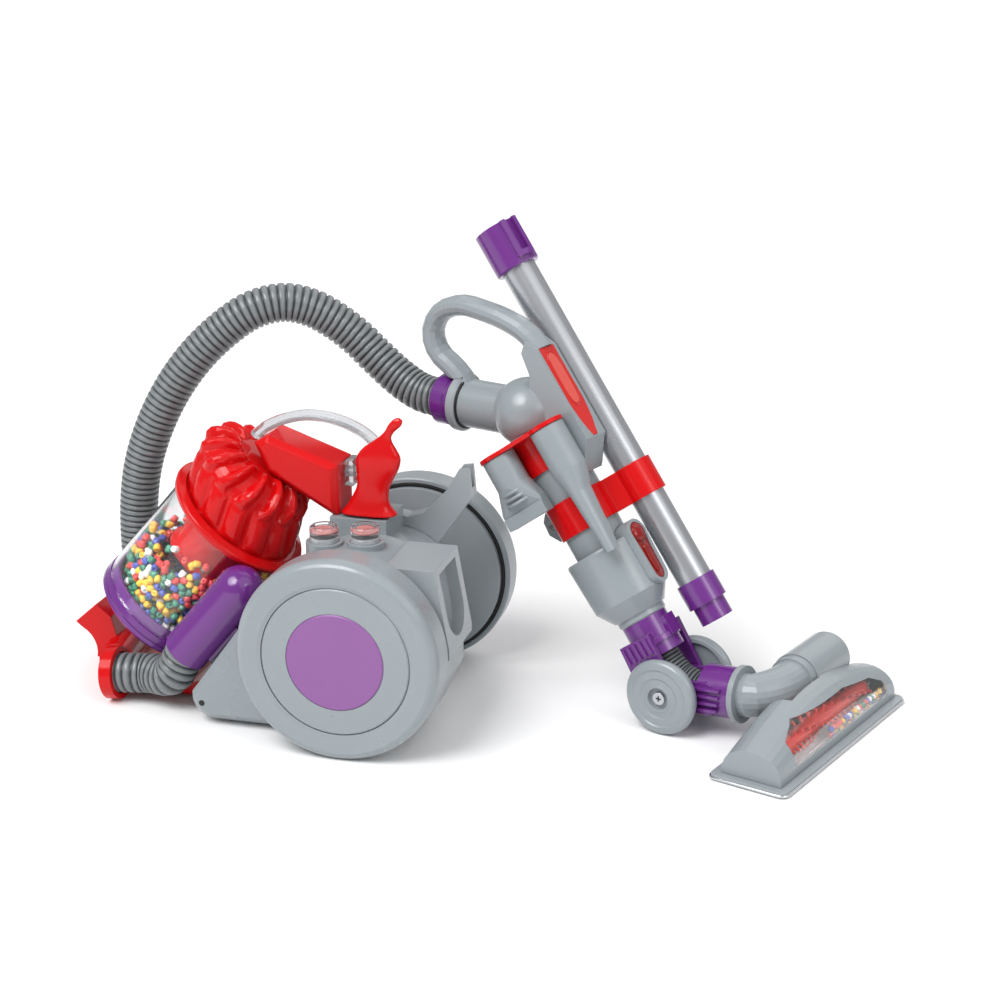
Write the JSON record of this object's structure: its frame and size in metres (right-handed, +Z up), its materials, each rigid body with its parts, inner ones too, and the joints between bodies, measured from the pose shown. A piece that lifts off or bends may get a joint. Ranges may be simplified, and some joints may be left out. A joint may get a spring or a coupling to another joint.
{
  "type": "toy vacuum cleaner",
  "caption": "Toy canister vacuum cleaner with a clear bead bin, ribbed hose, wheels and a folding wand on a jointed cleaner head.",
  "frame": {"origin": "on the floor, under the middle of the toy's footprint without its hose", "axes": "+X from the canister's nose towards the cleaner head, +Y away from the viewer of the picture along the wheel axle, +Z up"},
  "size_m": [0.5936, 0.2268, 0.3371],
  "materials": {
    "gray_plastic": "satin moulded plastic",
    "pale_gray_plastic": "satin moulded plastic",
    "dark_gray_plastic": "matt",
    "hose_plastic": "satin with dark grooves",
    "purple_plastic": "gloss",
    "lavender_plastic": "satin",
    "red_plastic": "gloss",
    "clear_red_plastic": "gloss, tinted clear",
    "clear_plastic": "clear gloss",
    "silver_plastic": "silver lacquer",
    "bead_plastic": "gloss, mixed colours",
    "pink_plastic": "gloss",
    "steel": "bright",
    "cell_wrap": "gloss"
  },
  "bodies": {
    "canister": {"base_housing": "gray_plastic", "top_housing": "gray_plastic", "dock_block": "pale_gray_plastic", "dock_arm": "pale_gray_plastic", "side_discs": "pale_gray_plastic", "axle": "steel", "battery_door": "gray_plastic", "batteries": "cell_wrap", "dust_bin": "clear_plastic", "bin_base": "purple_plastic", "bin_flange": "red_plastic", "bin_shroud": "red_plastic", "bin_beads": "bead_plastic", "bead_motor": "steel", "cyclone_pack": "red_plastic", "top_duct": "red_plastic", "carry_handle": "clear_plastic", "lever_pin": "steel", "button_switches": "dark_gray_plastic", "inlet_duct": "purple_plastic", "inlet_hose": "hose_plastic", "hose_inlet": "red_plastic", "hose": "hose_plastic", "hose_cuff": "purple_plastic"},
    "wheel_near": {"wheel_rim_near": "gray_plastic", "wheel_cap_near": "gray_plastic", "wheel_disc_near": "lavender_plastic"},
    "wheel_far": {"wheel_rim_far": "gray_plastic", "wheel_cap_far": "gray_plastic", "wheel_disc_far": "lavender_plastic"},
    "power": {"power_button": "clear_red_plastic"},
    "rewind": {"rewind_button": "clear_red_plastic"},
    "lever": {"release_lever": "red_plastic"},
    "impeller": {"bead_impeller": "dark_gray_plastic"},
    "wand": {"handle_ring": "pale_gray_plastic", "handle_body": "gray_plastic", "wand_tube": "gray_plastic", "tool_holder": "red_plastic", "tube_clip": "red_plastic", "wand_cup": "gray_plastic", "release_bezel": "gray_plastic", "upper_yoke": "purple_plastic", "yoke_pins": "steel", "bellows": "dark_gray_plastic"},
    "trigger": {"trigger": "clear_red_plastic"},
    "catch": {"release_button": "clear_red_plastic"},
    "crevice": {"crevice_tool": "gray_plastic"},
    "upholstery": {"upholstery_tool": "gray_plastic"},
    "extension": {"extension_tube": "silver_plastic", "extension_socket": "purple_plastic", "extension_spigot": "purple_plastic"},
    "small_wheel_near": {"head_wheel_near": "gray_plastic"},
    "small_wheel_far": {"head_wheel_far": "gray_plastic"},
    "lower": {"lower_yoke": "purple_plastic"},
    "neck": {"neck_elbow": "gray_plastic"},
    "head": {"head_cover": "gray_plastic", "head_window": "clear_plastic", "soleplate": "pale_gray_plastic", "head_beads": "bead_plastic"},
    "brush": {"brush_roll": "pink_plastic"}
  },
  "joints": [
    {"name": "wheel_near_spin", "type": "hinge", "parent": "canister", "child": "wheel_near", "pos_m": [-0.06276, -0.09971, 0.071], "axis": [0, 1, 0], "continuous": true},
    {"name": "wheel_far_spin", "type": "hinge", "parent": "canister", "child": "wheel_far", "pos_m": [-0.06276, 0.08829, 0.071], "axis": [0, 1, 0], "continuous": true},
    {"name": "power_press", "type": "slide", "parent": "canister", "child": "power", "axis": [0, 0, -1], "range_m": [0, 0.003], "stiffness_N_per_m": 200, "springref_m": -0.001},
    {"name": "rewind_press", "type": "slide", "parent": "canister", "child": "rewind", "axis": [0, 0, -1], "range_m": [0, 0.003], "stiffness_N_per_m": 200, "springref_m": -0.001},
    {"name": "lever_tilt", "type": "hinge", "parent": "canister", "child": "lever", "pos_m": [-0.06676, -0.01571, 0.138], "axis": [0, 1, 0], "range_deg": [0, 6], "stiffness_Nm_per_rad": 0.3, "springref_deg": -5.73},
    {"name": "impeller_spin", "type": "hinge", "parent": "canister", "child": "impeller", "pos_m": [-0.2023, -0.00571, 0.0912], "axis": [0.6428, 0, 0.766], "continuous": true},
    {"name": "wand_swivel", "type": "hinge", "parent": "canister", "child": "wand", "pos_m": [-0.02874, 0.0759, 0.203], "axis": [0.9432, -0.3322, 0], "range_deg": [-12, 12]},
    {"name": "trigger_press", "type": "slide", "parent": "wand", "child": "trigger", "axis": [-0.7602, 0.2677, -0.592], "range_m": [0, 0.002], "stiffness_N_per_m": 200, "springref_m": -0.001},
    {"name": "catch_press", "type": "slide", "parent": "wand", "child": "catch", "axis": [-0.7602, 0.2677, -0.592], "range_m": [0, 0.002], "stiffness_N_per_m": 200, "springref_m": -0.001},
    {"name": "crevice_pull", "type": "slide", "parent": "wand", "child": "crevice", "axis": [0.5584, -0.1966, -0.8059], "range_m": [0, 0.014]},
    {"name": "upholstery_pull", "type": "slide", "parent": "wand", "child": "upholstery", "axis": [0.5584, -0.1966, -0.8059], "range_m": [0, 0.014]},
    {"name": "extension_slide", "type": "slide", "parent": "wand", "child": "extension", "axis": [-0.5584, 0.1966, 0.8059], "range_m": [0, 0.06]},
    {"name": "small_wheel_near_spin", "type": "hinge", "parent": "wand", "child": "small_wheel_near", "pos_m": [0.13857, -0.01196, 0.027], "axis": [0.3322, 0.9432, 0], "continuous": true},
    {"name": "small_wheel_far_spin", "type": "hinge", "parent": "wand", "child": "small_wheel_far", "pos_m": [0.15671, 0.03954, 0.027], "axis": [0.3322, 0.9432, 0], "continuous": true},
    {"name": "yoke_pitch", "type": "hinge", "parent": "wand", "child": "lower", "pos_m": [0.14764, 0.01379, 0.027], "axis": [0.3322, 0.9432, 0], "range_deg": [-30, 40], "deforming": ["bellows"]},
    {"name": "neck_twist", "type": "hinge", "parent": "lower", "child": "neck", "pos_m": [0.19274, -0.00209, 0.03118], "axis": [0.9396, -0.3309, 0.0872], "range_deg": [-35, 35]},
    {"name": "head_tilt", "type": "hinge", "parent": "neck", "child": "head", "pos_m": [0.22861, 0.03298, 0.0355], "axis": [0.3322, 0.9432, 0], "range_deg": [-10, 10]},
    {"name": "brush_spin", "type": "hinge", "parent": "head", "child": "brush", "pos_m": [0.24433, 0.00837, 0.0135], "axis": [0.3322, 0.9432, 0], "continuous": true}
  ]
}
